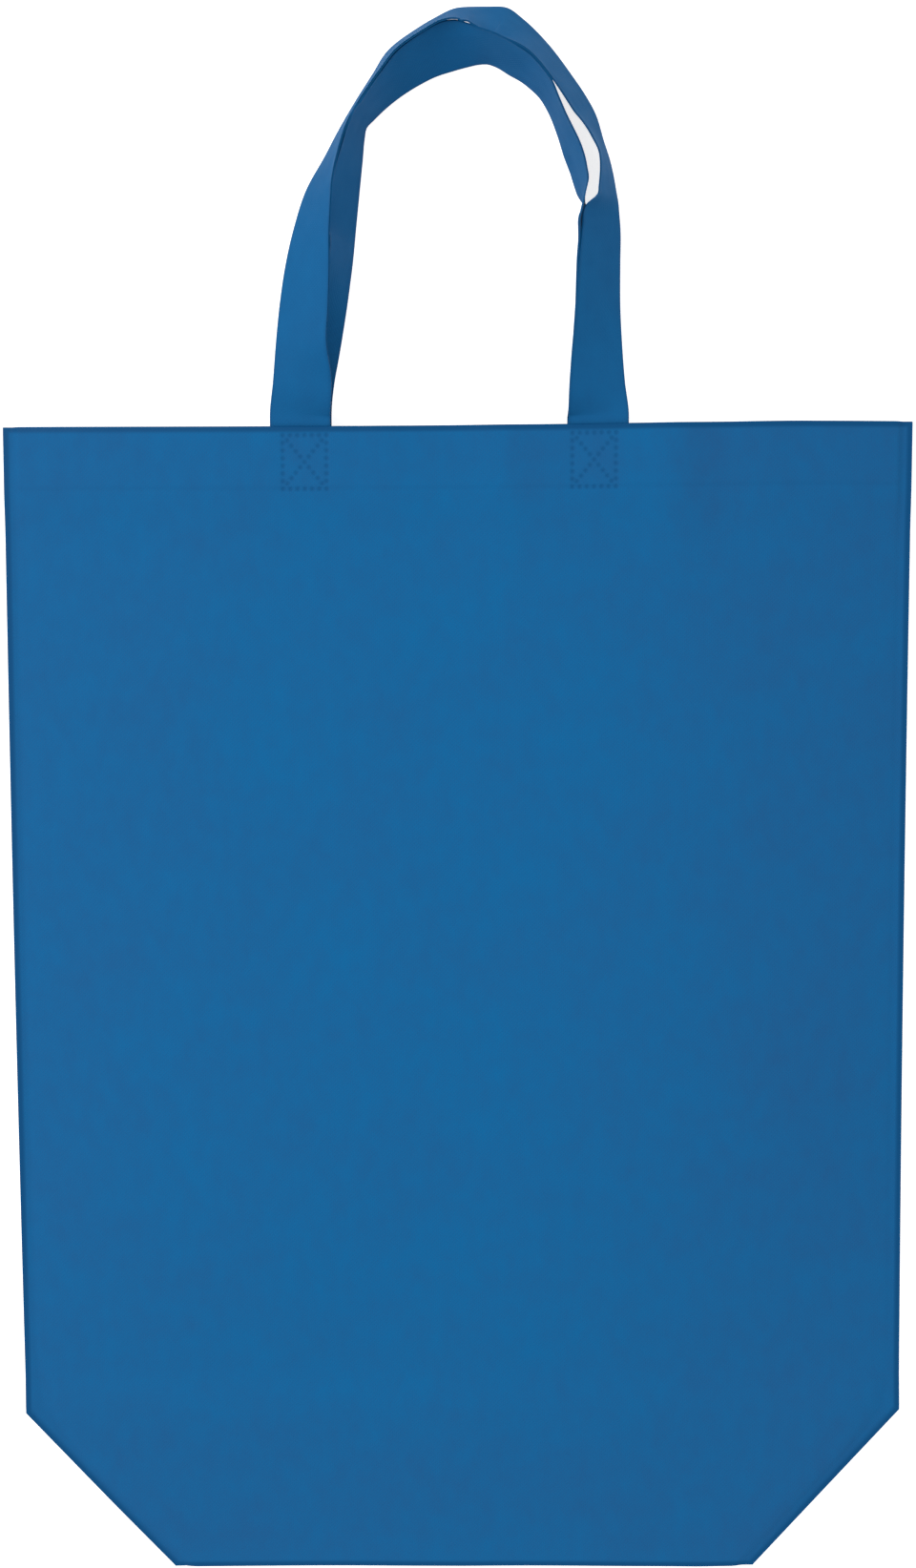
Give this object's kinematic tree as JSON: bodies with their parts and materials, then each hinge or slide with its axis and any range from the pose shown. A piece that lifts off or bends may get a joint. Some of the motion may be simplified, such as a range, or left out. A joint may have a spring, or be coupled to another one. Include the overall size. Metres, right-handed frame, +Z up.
{
  "type": "carrier bag",
  "caption": "Flat empty carrier bag of non-woven sheet: folded bottom gusset, cut and welded bottom corners, inward hem at the mouth and strap loop handles to carry it by.",
  "frame": {"origin": "middle of the underside of the whole bag, handles included, on the surface that it lies on", "axes": "+X across the bag, +Y from the bottom edge towards the handles, +Z up from the back panel to the front panel"},
  "size_m": [0.38, 0.666, 0.0254],
  "materials": {
    "bag_sheet": "matt blue spunbond polypropylene with fine point bonds",
    "handle_strap": "matt blue spunbond polypropylene strip, folded double"
  },
  "bodies": {
    "root": {"bag_body": "bag_sheet", "front_handle": "handle_strap", "back_handle": "handle_strap"}
  },
  "joints": []
}
